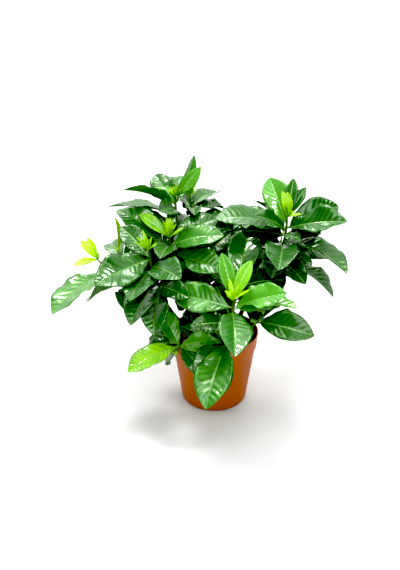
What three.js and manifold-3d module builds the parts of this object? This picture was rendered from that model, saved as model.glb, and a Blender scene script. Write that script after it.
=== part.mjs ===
// A gardenia in its nursery pot: glossy leaves in loose rosettes on a few forked woody cuttings, bright young
// leaves at each shoot's tip, moist potting soil and a terracotta-coloured plastic pot with drain holes.
//
// Millimetres, +Z up. The origin is the middle of the pot's flat underside. Angles are in degrees: a turn is
// measured from +X towards +Y, and a rise is measured above the horizontal.

import * as THREE from "three";
import { mergeVertices } from "three/addons/utils/BufferGeometryUtils.js";
import Module from "manifold-3d";

const wasm = await Module();
wasm.setup();

// ---------------------------------------------------------------- driving dimensions

const GAP = 0.3; // between pieces that touch
const CLEAR = 0.5; // between a leaf and the next one

const POT = {
  height: 112,
  rimRadius: 65,
  baseRadius: 49,
  bandHeight: 25, // the upright collar under the rim
  bandStep: 1.8, // how far the collar stands out
  wall: 1.6,
  sides: 32,
  drainHoles: 6,
  drainRadius: 4,
  drainCircle: 31,
};

const SOIL = { level: 97, lump: 1.6, sides: 24 };

const WOOD = { trunkRadius: 4.2, forkRadius: 3.0, footRadius: 2.3, rootEnd: 46 };
const GREEN = { from: 0.55, footRadius: 2.1, tipRadius: 1.5 }; // from is the share of a shoot that is wood

const LEAF = {
  widthShare: 0.52, // of the length
  thickness: 0.9,
  petiole: 0.07, // share of the length before the blade starts
  petioleHalfWidth: 1.1,
  rib: 0.9, // how far the midrib stands out below, at the petiole
  arch: 38, // how far a leaf turns down from base to tip
  fold: 17, // how far each half is raised from flat
  wave: 2.6,
  stations: [0, 0.13, 0.35, 0.6, 0.84, 1],
  innerStations: [0, 0.13, 0.42, 0.78, 1], // of a whorl's leaves
};

const SPIKE = 30; // the longest that a spike is
const YOUNG = {
  widthShare: 0.37,
  spikeShare: 0.2,
  rise: 80, // of the innermost, and the outermost stands at
  lowest: 38,
  coreRadius: 1.7,
  coreHeight: 6,
  thickness: 1,
  stations: [0, 0.5, 1],
};

// Leaves turn their faces to the light, which comes from the front and above.
const LIGHT = [270, 52];

// How far a leaf may yield, in turn and in rise, when another piece is in its way.
const YIELDS = [
  [0, 0], [0, 5], [0, -5], [6, 0], [-6, 0], [6, 5], [-6, 5], [6, -5], [-6, -5], [0, 10], [0, -10],
  [12, 0], [-12, 0], [12, 8], [-12, 8], [12, -8], [-12, -8], [0, 17], [0, -17],
  [20, 6], [-20, 6], [20, -8], [-20, -8], [28, 0], [-28, 0],
];

// Cuttings, by where they leave the soil and where they fork.
const CUTTINGS = {
  left: { root: [-22, 8], fork: [-32, 14, 150] },
  outer: { root: [-34, -10], fork: [-54, -20, 140] },
  right: { root: [26, 8], fork: [46, 12, 150] },
  front: { root: [8, -24], fork: [14, -46, 128] },
  back: { root: [-2, 30], fork: [0, 50, 145] },
  sprig: { root: [-32, -30], fork: [-40, -45, 120] },
};

// Shoots, each a curve from its cutting's fork, by an elbow, to a tip.
// leaves holds [share of the way from fork to tip, turn, rise, length, roll]. young holds the last four of those
// for narrower, brighter leaves that stand on the bud. whorls holds [share, turn, rise, length] for three
// leaves 120 degrees apart. buds is the number of spikes around the bud and the length of the longest.
const SHOOTS = {
  sprig: {
    cutting: "sprig", elbow: [-47, -58, 126], tip: [-52, -72, 114], buds: [2, 8],
    leaves: [
      [0.72, 208, -14, 80, 14], [0.72, 122, 40, 60], [0.72, 340, 21, 61], [0.6, 160, 2, 44], [0.65, 316, -22, 58],
      [0.6, 344, -50, 56], [0.6, 106, -50, 54],
    ],
    whorls: [],
  },
  apron: {
    cutting: "front", elbow: [16, -72, 130], tip: [17, -92, 139], buds: [2, 8],
    leaves: [[0.8, 253, -27, 102], [0.75, 222, -20, 68], [0.6, 140, 12, 72]],
    whorls: [],
  },
  front: {
    cutting: "front", elbow: [22, -85, 145], tip: [24, -95, 203], buds: [5, 24],
    leaves: [
      [0.93, 161, 5, 86], [0.93, 341, 25, 78, -12], [0.9, 336, 14, 90, -40], [0.88, 271, -12, 88],
      [0.66, 206, 8, 60], [0.64, 95, -12, 65],
    ],
    young: [[118, 58, 64], [52, 50, 57]],
    whorls: [],
  },
  centre: {
    cutting: "front", elbow: [28, -50, 165], tip: [30, -34, 208], buds: [2, 12],
    leaves: [[0.88, 74, 38, 98], [0.86, 28, 18, 84], [0.84, 128, 7, 74]],
    whorls: [[0.68, 100, -4, 72]],
  },
  low_right: {
    cutting: "front", elbow: [46, -56, 135], tip: [64, -60, 165], buds: [2, 10],
    leaves: [
      [0.85, 336, -2, 82, 10], [0.82, 10, -11, 78], [0.78, 285, 16, 40], [0.7, 30, 32, 84], [0.68, 85, 22, 76],
    ],
    whorls: [],
  },
  middle_left: {
    cutting: "left", elbow: [-58, -5, 200], tip: [-63, -10, 257], buds: [6, 26],
    leaves: [
      [0.93, 30, 20, 79], [0.93, 346, 16, 79], [0.92, 261, 6, 64], [0.85, 162, 31, 97, 30], [0.8, 333, -6, 82],
    ],
    young: [[154, 12, 55], [26, 14, 54]],
    whorls: [[0.7, 100, -4, 70]],
  },
  left: {
    cutting: "outer", elbow: [-80, -50, 190], tip: [-87, -60, 258], buds: [6, 24],
    leaves: [
      [0.93, 140, 31, 64], [0.93, 226, -5, 92], [0.8, 254, -1, 82], [0.84, 304, -2, 76],
      [0.62, 253, -11, 94], [0.6, 316, 2, 62], [0.58, 270, -24, 84],
    ],
    whorls: [],
  },
  crown: {
    cutting: "left", elbow: [-56, 36, 225], tip: [-58, 45, 299], buds: [4, 16],
    leaves: [
      [0.91, 207, 25, 88, 60], [0.93, 134, 28, 64], [0.93, 84, 36, 66], [0.94, 156, 34, 40, 20],
      [0.85, 174, 4, 102, 50], [0.89, 251, 16, 64, -20],
    ],
    young: [[60, 44, 72, 66], [345, 50, 60, 40]],
    whorls: [[0.76, 175, -4, 78]],
  },
  right: {
    cutting: "right", elbow: [98, 15, 190], tip: [100, 15, 279], buds: [4, 20],
    leaves: [
      [0.93, 16, 19, 82], [0.93, 336, 10, 88], [0.93, 190, 11, 104, 14], [0.9, 132, 29, 74, 60],
      [0.91, 206, 30, 60], [0.86, 148, 6, 78], [0.8, 261, -2, 94], [0.8, 325, -13, 102, -42],
      [0.62, 322, -19, 96, -34], [0.88, 293, 6, 40], [0.83, 31, -2, 66], [0.78, 14, -15, 82],
      [0.62, 258, 4, 78], [0.96, 116, 56, 76],
    ],
    young: [[72, 50, 56], [48, 42, 50], [232, 66, 46]],
    whorls: [[0.68, 60, -5, 72]],
  },
  crown_back: {
    cutting: "left", elbow: [-30, 60, 225], tip: [-37, 58, 291], buds: [4, 14],
    leaves: [
      [0.93, 40, -12, 66, -30], [0.93, 56, 3, 64, -20],
      [0.92, 278, 8, 52], [0.93, 108, 8, 60], [0.82, 5, -6, 62, -20],
    ],
    young: [[82, 52, 34]],
    whorls: [[0.74, 60, -10, 68]],
  },
  far_left: {
    cutting: "outer", elbow: [-120, 5, 165], tip: [-168, 20, 211], buds: [3, 14],
    leaves: [
      [0.86, 227, -18, 108, 38], [0.66, 244, 5, 86, 78], [0.6, 272, -6, 62], [0.62, 236, 20, 58], [0.62, 60, 0, 64],
    ],
    young: [[160, 44, 38], [205, -6, 36]],
    whorls: [],
  },
  behind: {
    cutting: "back", elbow: [20, 42, 200], tip: [25, 40, 262], buds: [6, 20],
    leaves: [[0.93, 70, 8, 60], [0.93, 133, -5, 60], [0.91, 330, -2, 56], [0.91, 240, -8, 62]],
    whorls: [[0.78, 10, 0, 72], [0.64, 70, -8, 72]],
  },
  inner: {
    cutting: "left", elbow: [-20, -8, 180], tip: [-14, -16, 212], buds: [2, 12],
    leaves: [],
    whorls: [[0.9, 250, 2, 66], [0.74, 190, -6, 66]],
  },
  back_left: {
    cutting: "outer", elbow: [-110, 20, 170], tip: [-142, 40, 214], buds: [2, 14],
    leaves: [[0.93, 60, 10, 62], [0.92, 110, 6, 60]],
    young: [[104, 62, 54, 70]],
    whorls: [[0.78, 260, -4, 66], [0.66, 30, -6, 68]],
  },
  right_back: {
    cutting: "right", elbow: [92, 60, 180], tip: [100, 78, 226], buds: [3, 14],
    leaves: [],
    whorls: [[0.93, 20, 4, 66], [0.8, 80, -6, 66], [0.66, 20, -10, 66]],
  },
  far_back: {
    cutting: "back", elbow: [35, 100, 180], tip: [42, 104, 226], buds: [3, 14],
    leaves: [],
    whorls: [[0.93, 60, 8, 68], [0.8, 0, -2, 70], [0.66, 50, -8, 70]],
  },
  back_centre: {
    cutting: "back", elbow: [-42, 90, 180], tip: [-52, 98, 232], buds: [3, 14],
    leaves: [],
    whorls: [[0.93, 100, 8, 68], [0.8, 40, -2, 70], [0.66, 90, -8, 70]],
  },
  low_left: {
    cutting: "sprig", elbow: [-44, -44, 132], tip: [-50, -44, 144], buds: [2, 8],
    leaves: [[0.92, 174, -52, 70], [0.9, 345, -22, 66], [0.84, 30, -26, 62], [0.76, 142, -34, 62], [0.68, 60, 0, 60]],
    whorls: [],
  },
};

// ---------------------------------------------------------------- small maths

const radians = THREE.MathUtils.degToRad;
const vec = (p) => new THREE.Vector3(...p);

// The unit vector with this turn and rise.
function heading(turn, rise) {
  const [a, b] = [radians(turn), radians(rise)];
  return new THREE.Vector3(Math.cos(b) * Math.cos(a), Math.cos(b) * Math.sin(a), Math.sin(b));
}

// A seeded draw from 0 to 1, the same on every run.
function drawer(seed) {
  let state = seed;
  return () => {
    state = (state * 1664525 + 1013904223) % 4294967296;
    return state / 4294967296;
  };
}

// ---------------------------------------------------------------- solids

// Triangles between rings of points, each end closed. A ring of one point is a pole. splits says, for each
// side of the ring, which way its quads are cut in two.
function loft(rings, splits = []) {
  const triangles = [];
  const starts = [];
  let count = 0;
  for (const ring of rings) {
    starts.push(count);
    count += ring.length;
  }
  for (let i = 0; i + 1 < rings.length; i++) {
    const [low, high] = [rings[i], rings[i + 1]];
    const sides = Math.max(low.length, high.length);
    const at = (ring, j) => starts[ring] + (rings[ring].length === 1 ? 0 : j % sides);
    for (let j = 0; j < sides; j++) {
      const [a, b] = [at(i, j), at(i, j + 1)];
      const [c, d] = [at(i + 1, j + 1), at(i + 1, j)];
      if (a === b) triangles.push([a, c, d]);
      else if (c === d) triangles.push([a, b, c]);
      else if (splits[j]) triangles.push([a, b, d], [b, c, d]);
      else triangles.push([a, b, c], [a, c, d]);
    }
  }
  const last = rings.length - 1;
  for (let j = 1; j + 1 < rings[0].length; j++) {
    triangles.push([0, j + 1, j]);
  }
  for (let j = 1; j + 1 < rings[last].length; j++) {
    triangles.push([starts[last], starts[last] + j, starts[last] + j + 1]);
  }
  return new wasm.Manifold(new wasm.Mesh({
    numProp: 3,
    vertProperties: new Float32Array(rings.flat().flatMap((p) => p.toArray())),
    triVerts: new Uint32Array(triangles.flat()),
  }));
}

// A three.js geometry as a solid.
function solidOf(geometry) {
  geometry.deleteAttribute("normal");
  geometry.deleteAttribute("uv");
  const merged = mergeVertices(geometry);
  return new wasm.Manifold(new wasm.Mesh({
    numProp: 3,
    vertProperties: merged.attributes.position.array,
    triVerts: new Uint32Array(merged.index.array),
  }));
}

// A solid as a three.js geometry.
function geometryOf(solid) {
  const { vertProperties, triVerts, numProp } = solid.getMesh();
  const geometry = new THREE.BufferGeometry();
  const positions = new Float32Array((vertProperties.length / numProp) * 3);
  for (let i = 0; i < positions.length / 3; i++) {
    positions.set(vertProperties.subarray(i * numProp, i * numProp + 3), i * 3);
  }
  geometry.setAttribute("position", new THREE.BufferAttribute(positions, 3));
  geometry.setIndex(new THREE.BufferAttribute(triVerts, 1));
  geometry.computeVertexNormals();
  return geometry;
}

// Solids joined as one, without the slivers that joining leaves.
function join(solids) {
  return solids.reduce((whole, next) => whole.add(next)).asOriginal().simplify(0.01);
}

const meet = (a, b) => a.intersect(b).volume() > 0;

// A tapered tube along a curve, from one share of it to another.
function tube(curve, [from, to], [startRadius, endRadius], sides, steps) {
  const rings = [];
  const side = vec([0, 0, 1]).cross(curve.getTangent(from));
  if (side.length() < 0.05) side.set(1, 0, 0);
  for (let i = 0; i <= steps; i++) {
    const share = i / steps;
    const t = from + (to - from) * share;
    const along = curve.getTangent(t);
    side.addScaledVector(along, -side.dot(along)).normalize();
    const up = along.clone().cross(side);
    const radius = startRadius + (endRadius - startRadius) * share;
    const middle = curve.getPoint(t);
    rings.push(Array.from({ length: sides }, (_, j) => {
      const angle = (j / sides) * 2 * Math.PI;
      return middle.clone()
        .addScaledVector(side, radius * Math.cos(angle))
        .addScaledVector(up, radius * Math.sin(angle));
    }));
  }
  return loft(rings);
}

// ---------------------------------------------------------------- pot and soil

// The pot's wall as [radius, height] pairs, from the middle of its underside out, up and back inside.
function potProfile() {
  const { height, rimRadius, baseRadius, bandHeight, bandStep, wall } = POT;
  const neck = height - bandHeight;
  const neckRadius = rimRadius - bandStep - 2.2;
  const collarRadius = neckRadius + bandStep;
  return [
    [0, 0], [baseRadius - 2, 0], [baseRadius, 2.5], [neckRadius, neck], [collarRadius, neck + 2],
    [rimRadius - 0.4, height - 3], [rimRadius, height],
    [rimRadius - wall, height], [collarRadius - wall, neck + 1], [neckRadius - wall, neck - 1],
    [baseRadius - wall, 3.5], [baseRadius - wall - 1.5, wall + 0.2], [0, wall + 0.2],
  ];
}

function pot() {
  const outline = potProfile().map(([r, z]) => new THREE.Vector2(r, z));
  const shell = solidOf(new THREE.LatheGeometry(outline, POT.sides).rotateX(Math.PI / 2));
  const holes = Array.from({ length: POT.drainHoles }, (_, i) => {
    const angle = (i / POT.drainHoles) * 2 * Math.PI;
    return solidOf(
      new THREE.CylinderGeometry(POT.drainRadius, POT.drainRadius, 10, 8)
        .rotateX(Math.PI / 2)
        .translate(POT.drainCircle * Math.cos(angle), POT.drainCircle * Math.sin(angle), 0),
    );
  });
  return holes.reduce((left, hole) => left.subtract(hole), shell);
}

// The inside radius of the pot at a height.
function insideRadius(height) {
  const inner = potProfile().slice(-6).reverse();
  for (let i = 1; i < inner.length; i++) {
    const [[r0, z0], [r1, z1]] = [inner[i - 1], inner[i]];
    if (height <= z1 && z1 > z0) return r0 + ((r1 - r0) * (height - z0)) / (z1 - z0);
  }
  return inner.at(-1)[0];
}

// The soil's lumpy top.
function soilHeight(x, y) {
  const coarse = Math.sin(x * 0.13 + 0.7) * Math.cos(y * 0.11 - 0.4);
  const fine = Math.sin(x * 0.31 + y * 0.23) * 0.5;
  return SOIL.level + SOIL.lump * (coarse + fine);
}

function soil(stems) {
  const ring = (radius, height) => Array.from({ length: SOIL.sides }, (_, j) => {
    const angle = (j / SOIL.sides) * 2 * Math.PI;
    const [x, y] = [radius * Math.cos(angle), radius * Math.sin(angle)];
    return vec([x, y, height ?? soilHeight(x, y)]);
  });
  const chord = Math.cos(Math.PI / SOIL.sides); // keeps the soil's flats inside the pot's
  const floor = POT.wall + 0.2 + GAP;
  const neck = POT.height - POT.bandHeight - 1;
  const fit = (height) => insideRadius(height) * chord - GAP;
  const top = fit(SOIL.level);
  const rings = [[vec([0, 0, floor])], ring(fit(floor) - 1.5, floor), ring(fit(6), 6)];
  rings.push(ring(fit(neck), neck));
  for (const share of [1, 0.8, 0.55, 0.3]) rings.push(ring(top * share));
  rings.push([vec([0, 0, soilHeight(0, 0)])]);
  return stems.reduce((left, stem) => left.subtract(stem), loft(rings));
}

// ---------------------------------------------------------------- stems

const shootCurve = (shoot) => new THREE.QuadraticBezierCurve3(
  vec(CUTTINGS[shoot.cutting].fork), vec(shoot.elbow), vec(shoot.tip),
);

function trunkCurve(cutting, extra = 0) {
  const [x, y] = cutting.root;
  return new THREE.QuadraticBezierCurve3(
    vec([x, y, WOOD.rootEnd - extra]), vec([x, y, SOIL.level + 12]), vec(cutting.fork),
  );
}

function trunk(cutting, extra = 0) {
  const radii = [WOOD.trunkRadius + extra, WOOD.forkRadius + extra];
  return tube(trunkCurve(cutting, extra), [0, 1], radii, 6, 5);
}

function wood(name) {
  const branches = Object.values(SHOOTS).filter((shoot) => shoot.cutting === name);
  const tubes = branches.map((shoot) => {
    return tube(shootCurve(shoot), [0, GREEN.from], [WOOD.forkRadius, WOOD.footRadius], 6, 3);
  });
  return join([trunk(CUTTINGS[name]), ...tubes]);
}

// The green stem starts a gap past the wood's end.
function greenStem(shoot) {
  const curve = shootCurve(shoot);
  const start = GREEN.from + GAP / (curve.getLength() || 1);
  return tube(curve, [start, 1], [GREEN.footRadius, GREEN.tipRadius], 5, 3);
}

// ---------------------------------------------------------------- leaves

// Half the blade's width at a share of the leaf's length: a petiole, then a pointed ellipse.
function halfWidth(leaf, share) {
  const s = Math.max(0, (share - LEAF.petiole) / (1 - LEAF.petiole));
  const blade = Math.pow(Math.max(0, Math.sin(Math.PI * Math.pow(s, 1.14))), 0.66 + 0.16 * s);
  return Math.max(leaf.petiole * (1 - share), (leaf.width / 2) * blade);
}

// The leaf's frame: along its chord, up from its face as near to the light as it can be, and to its left.
function leafFrame(leaf) {
  const along = heading(leaf.turn, leaf.rise);
  const lit = heading(...LIGHT);
  lit.addScaledVector(along, -lit.dot(along)).normalize();
  const side = lit.clone().cross(along);
  const [c, s] = [Math.cos(radians(leaf.roll)), Math.sin(radians(leaf.roll))];
  return {
    along,
    left: side.clone().multiplyScalar(c).addScaledVector(lit, s),
    up: lit.clone().multiplyScalar(c).addScaledVector(side, -s),
  };
}

// A point of the leaf's middle surface, and its normal there. The midrib is an arc of leaf.arch degrees, and
// across goes from -1 at the right edge to 1 at the left one.
function leafPoint(leaf, frame, share, across) {
  const bend = radians(leaf.arch);
  const radius = leaf.length / (2 * Math.sin(bend / 2));
  const lean = bend * (0.5 - share);
  const chordwise = radius * (Math.sin(bend / 2) - Math.sin(lean));
  const lift = radius * (Math.cos(lean) - Math.cos(bend / 2));
  const normal = frame.up.clone().multiplyScalar(Math.cos(lean))
    .addScaledVector(frame.along, -Math.sin(lean));
  const half = halfWidth(leaf, share);
  const fold = radians(leaf.fold);
  const ripple = Math.sin(2 * Math.PI * leaf.waves * share + leaf.phase + across * 1.3);
  const edge = across * across * leaf.wave * ripple * Math.sin(Math.PI * share);
  const point = leaf.root.clone()
    .addScaledVector(frame.along, chordwise)
    .addScaledVector(frame.up, lift)
    .addScaledVector(frame.left, across * half * Math.cos(fold))
    .addScaledVector(normal, Math.abs(across) * half * Math.sin(fold) + edge);
  return { point, normal };
}

// A leaf's solid: two waved faces, cut in triangles alike, with a midrib below. extra thickens it on all
// sides, and from is the share of the leaf that it starts at.
function blade(leaf, extra = 0, from = 0) {
  const frame = leafFrame(leaf);
  const stations = [from, ...leaf.stations.filter((share) => share > from)];
  const rings = stations.map((share) => {
    const at = (across, height) => {
      const { point, normal } = leafPoint(leaf, frame, share, across);
      return point.addScaledVector(normal, height);
    };
    const top = leaf.thickness / 2 + extra;
    const rib = top + leaf.rib * (1 - share);
    const edge = 1 + extra / Math.max(1, halfWidth(leaf, share));
    if (share === 1) return [at(0, 0)];
    if (leaf.flat) return [at(edge, top), at(-edge, top), at(-edge, -top), at(edge, -top)];
    return [at(edge, top), at(0, top), at(-edge, top), at(-edge, -top), at(0, -rib), at(edge, -top)];
  });
  return loft(rings, [true, false, false, true, false, false]);
}

const yielded = (leaf, [turn, rise]) => ({ ...leaf, turn: leaf.turn + turn, rise: leaf.rise + rise });

// A leaf moved as little as clears the other pieces, and its siblings if it can; null where nothing does.
function settle(leaf, others, siblings) {
  const blocked = (probe, solids) => {
    const box = probe.boundingBox();
    return solids.some((solid) => {
      const { min, max } = solid.boundingBox();
      const near = [0, 1, 2].every((i) => min[i] < box.max[i] && max[i] > box.min[i]);
      return near && meet(probe, solid);
    });
  };
  let fallback = null;
  for (const step of YIELDS) {
    const moved = yielded(leaf, step);
    if (blocked(blade(moved, CLEAR), others)) continue;
    if (!blocked(blade(moved, CLEAR, 0.14), siblings)) return moved;
    fallback ??= moved;
  }
  return fallback;
}

function leafOn(shoot, draw, [share, turn, rise, length, roll = 0]) {
  return {
    root: shootCurve(shoot).getPoint(share),
    turn,
    rise,
    length,
    width: length * LEAF.widthShare * (0.94 + 0.14 * draw()),
    arch: LEAF.arch * (0.6 + 0.8 * draw()),
    fold: LEAF.fold * (0.6 + 0.8 * draw()),
    roll: roll + 20 * (draw() - 0.5),
    wave: LEAF.wave * (0.5 + draw()),
    waves: 1.2 + 1.2 * draw(),
    phase: 2 * Math.PI * draw(),
    thickness: LEAF.thickness,
    petiole: LEAF.petioleHalfWidth,
    rib: LEAF.rib,
    stations: LEAF.stations,
  };
}

// The leaves of a whorl, which droop and shorten a little in turn.
function whorl([share, turn, rise, length]) {
  return [0, 1, 2].map((i) => [share - 0.02 * i, turn + 120 * i, rise - 4 * i, length - 3 * i]);
}

const budFoot = (shoot) => {
  const curve = shootCurve(shoot);
  return curve.getPoint(1).addScaledVector(curve.getTangent(1), GAP);
};

// The bud that the young leaves stand on, a gap past the stem's end.
function budCore(shoot) {
  const foot = budFoot(shoot);
  const axis = shootCurve(shoot).getTangent(1);
  const curve = new THREE.LineCurve3(foot, foot.clone().addScaledVector(axis, YOUNG.coreHeight));
  return tube(curve, [0, 1], [YOUNG.coreRadius * 0.8, YOUNG.coreRadius], 5, 1);
}

function youngLeaf(shoot, draw, turn, rise, length, roll = 0) {
  const spike = length <= SPIKE;
  const axis = shootCurve(shoot).getTangent(1);
  return {
    root: budFoot(shoot).addScaledVector(axis, YOUNG.coreHeight * (0.55 + 0.25 * draw())),
    turn,
    rise,
    length,
    width: Math.max(2.6, length * (spike ? YOUNG.spikeShare : YOUNG.widthShare)),
    arch: 10 + 26 * draw(),
    fold: 22,
    roll,
    wave: 0.4,
    waves: 1,
    phase: 0,
    thickness: YOUNG.thickness,
    petiole: 0.9,
    rib: 0.3,
    stations: spike ? YOUNG.stations : LEAF.stations,
    flat: spike,
  };
}

// ---------------------------------------------------------------- the plant

const material = (color, roughness) => new THREE.MeshStandardMaterial({ color, roughness, metalness: 0 });
const MATERIALS = {
  pot: material("#a8481c", 0.45),
  soil: material("#2a1c12", 0.95),
  bark: material("#5b4630", 0.85),
  leaf: material("#1f6b26", 0.3),
  young: material("#9ccc1c", 0.4),
};

const plant = new THREE.Group();

function place(name, solid, look) {
  const mesh = new THREE.Mesh(geometryOf(solid), look);
  mesh.name = name;
  plant.add(mesh);
}

const potSolid = pot();
const soilSolid = soil(Object.values(CUTTINGS).map((cutting) => trunk(cutting, GAP)));
const woods = Object.keys(CUTTINGS).map((name) => [name, wood(name)]);
place("pot", potSolid, MATERIALS.pot);
place("soil", soilSolid, MATERIALS.soil);
for (const [name, solid] of woods) place(`wood_${name}`, solid, MATERIALS.bark);

// Each shoot in turn adds its main leaves, then its young ones, then the whorls lower down.
const shoots = Object.entries(SHOOTS).map(([name, shoot], i) => {
  return { name, shoot, draw: drawer(7919 * (i + 1)), stem: greenStem(shoot), core: budCore(shoot), leaves: [], young: [] };
});
const fixed = [potSolid, soilSolid, ...woods.map(([, solid]) => solid)];
const pieces = (one) => [one.stem, one.core, ...one.leaves, ...one.young];
const allBut = (own) => [...fixed, ...shoots.flatMap(pieces)].filter((solid) => !own.includes(solid));

function grow(one, kind, leaf) {
  const own = kind === "leaves" ? [one.stem, ...one.leaves] : [one.core, ...one.young];
  const settled = settle(leaf, allBut(own), own.slice(1));
  if (settled) one[kind].push(blade(settled));
}

for (const one of shoots) {
  for (const row of one.shoot.leaves) grow(one, "leaves", leafOn(one.shoot, one.draw, row));
}
for (const one of shoots) {
  const { shoot, draw } = one;
  const rows = [...(shoot.young ?? [])];
  for (const row of rows) grow(one, "young", youngLeaf(shoot, draw, ...row));
  const [count, longest] = shoot.buds;
  for (let i = 0; i < count; i++) {
    const outward = (i + 0.5) / count;
    const rise = YOUNG.rise + (YOUNG.lowest - YOUNG.rise) * outward;
    const length = longest * (1 - 0.35 * draw());
    grow(one, "young", youngLeaf(shoot, draw, i * 137.5 + 40 * draw(), rise, length));
  }
}
for (const one of shoots) {
  for (const row of one.shoot.whorls.flatMap(whorl)) {
    grow(one, "leaves", { ...leafOn(one.shoot, one.draw, row), stations: LEAF.innerStations });
  }
}
for (const { name, stem, core, leaves, young } of shoots) {
  place(`shoot_${name}`, join([stem, ...leaves]), MATERIALS.leaf);
  place(`bud_${name}`, join([core, ...young]), MATERIALS.young);
}

export default plant;
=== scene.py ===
"""The looks of a potted gardenia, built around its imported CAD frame.

The leaves, stems, soil and pot take their places from the same rules as the CAD part, so each finer piece
lies where the frame's solid does. Tables are in millimetres and degrees, and meshes are in metres.
"""

import math

import bmesh
import bpy
import numpy as np
from bpy.props import FloatProperty, FloatVectorProperty, IntProperty, PointerProperty
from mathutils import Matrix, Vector
from mathutils.bvhtree import BVHTree
from mathutils.kdtree import KDTree


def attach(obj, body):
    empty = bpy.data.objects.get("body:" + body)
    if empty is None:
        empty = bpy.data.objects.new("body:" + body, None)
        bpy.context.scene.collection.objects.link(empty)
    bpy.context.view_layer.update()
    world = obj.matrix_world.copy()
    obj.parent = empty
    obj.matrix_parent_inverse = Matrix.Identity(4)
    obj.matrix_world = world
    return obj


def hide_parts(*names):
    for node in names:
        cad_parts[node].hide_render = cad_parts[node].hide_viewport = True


bl_info = {
    "name": "Potted Gardenia",
    "version": (1, 0, 0),
    "blender": (4, 5, 0),
    "location": "3D View > Sidebar > Gardenia",
    "description": "Builds the leaves, stems, soil and pot of a gardenia around its CAD frame",
    "category": "Add Mesh",
}

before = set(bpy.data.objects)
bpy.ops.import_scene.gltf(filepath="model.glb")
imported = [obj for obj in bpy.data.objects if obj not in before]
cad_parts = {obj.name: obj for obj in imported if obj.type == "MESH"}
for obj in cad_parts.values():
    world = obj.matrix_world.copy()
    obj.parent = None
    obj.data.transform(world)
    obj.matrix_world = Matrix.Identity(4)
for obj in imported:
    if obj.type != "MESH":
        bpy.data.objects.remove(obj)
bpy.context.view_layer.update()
MM = 0.001
BLACK, WHITE = (0, 0, 0, 1), (1, 1, 1, 1)

# ---------------------------------------------------------------- the plant's rules, as in the CAD part

GAP = 0.3  # between pieces that touch

POT_HEIGHT = 112
RIM_RADIUS, BASE_RADIUS = 65, 49
NECK = POT_HEIGHT - 25  # where the upright collar starts
NECK_RADIUS, COLLAR_STEP = 61, 1.8
WALL = 1.6
POT_FLOOR = WALL + 0.2
DRAIN_HOLES, DRAIN_CIRCLE = 6, 31

SOIL_LEVEL, SOIL_LUMP, SOIL_FOOT = 97, 1.6, 2.3
TRUNK_RADIUS, FORK_RADIUS, FOOT_RADIUS = 4.2, 3.0, 2.3
ROOT_END = 46
GREEN_FROM = 0.55  # the share of a shoot that is wood
GREEN_RADII = (2.1, 1.5)

# A leaf's outline is a petiole, then a blade. At the share s of the blade, its half breadth is
# sin(pi s^SHOULDER)^(BLUNTNESS + TAPER s) of its greatest.
PETIOLE, SHOULDER, BLUNTNESS, TAPER = 0.07, 1.14, 0.66, 0.16
LEAF_BREADTH = 0.52  # of the length
LEAF_ARCH, LEAF_FOLD = 38, 17  # how far it turns down to its tip, and how far its halves are raised
LEAF_WAVE = 2.6
PETIOLE_RADIUS, MIDRIB = 1.1, 0.9
LIGHT = (270, 52)  # leaves turn their faces to this turn and rise

SPIKE = 30  # the longest that a spike is
YOUNG_BREADTH, SPIKE_BREADTH, LEAST_BREADTH = 0.37, 0.2, 2.6
YOUNG_FOLD = 22
SPIKE_TURN = 137.5  # from one spike to the next
INNER_RISE, OUTER_RISE = 80, 38  # of the spikes on a bud
BUD_HEIGHT = 6

SHADED_TRIES = 130
SHADED_STATIONS, SHADED_COLUMNS = 26, 7

# How far a leaf may yield, in turn and in rise, when another piece is in its way.
YIELDS = [
    (0, 0), (0, 5), (0, -5), (6, 0), (-6, 0), (6, 5), (-6, 5), (6, -5), (-6, -5), (0, 10), (0, -10),
    (12, 0), (-12, 0), (12, 8), (-12, 8), (12, -8), (-12, -8), (0, 17), (0, -17),
    (20, 6), (-20, 6), (20, -8), (-20, -8), (28, 0), (-28, 0),
]

# Cuttings, by where they leave the soil and where they fork.
CUTTINGS = {
    "left": ((-22, 8), (-32, 14, 150)),
    "outer": ((-34, -10), (-54, -20, 140)),
    "right": ((26, 8), (46, 12, 150)),
    "front": ((8, -24), (14, -46, 128)),
    "back": ((-2, 30), (0, 50, 145)),
    "sprig": ((-32, -30), (-40, -45, 120)),
}

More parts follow.
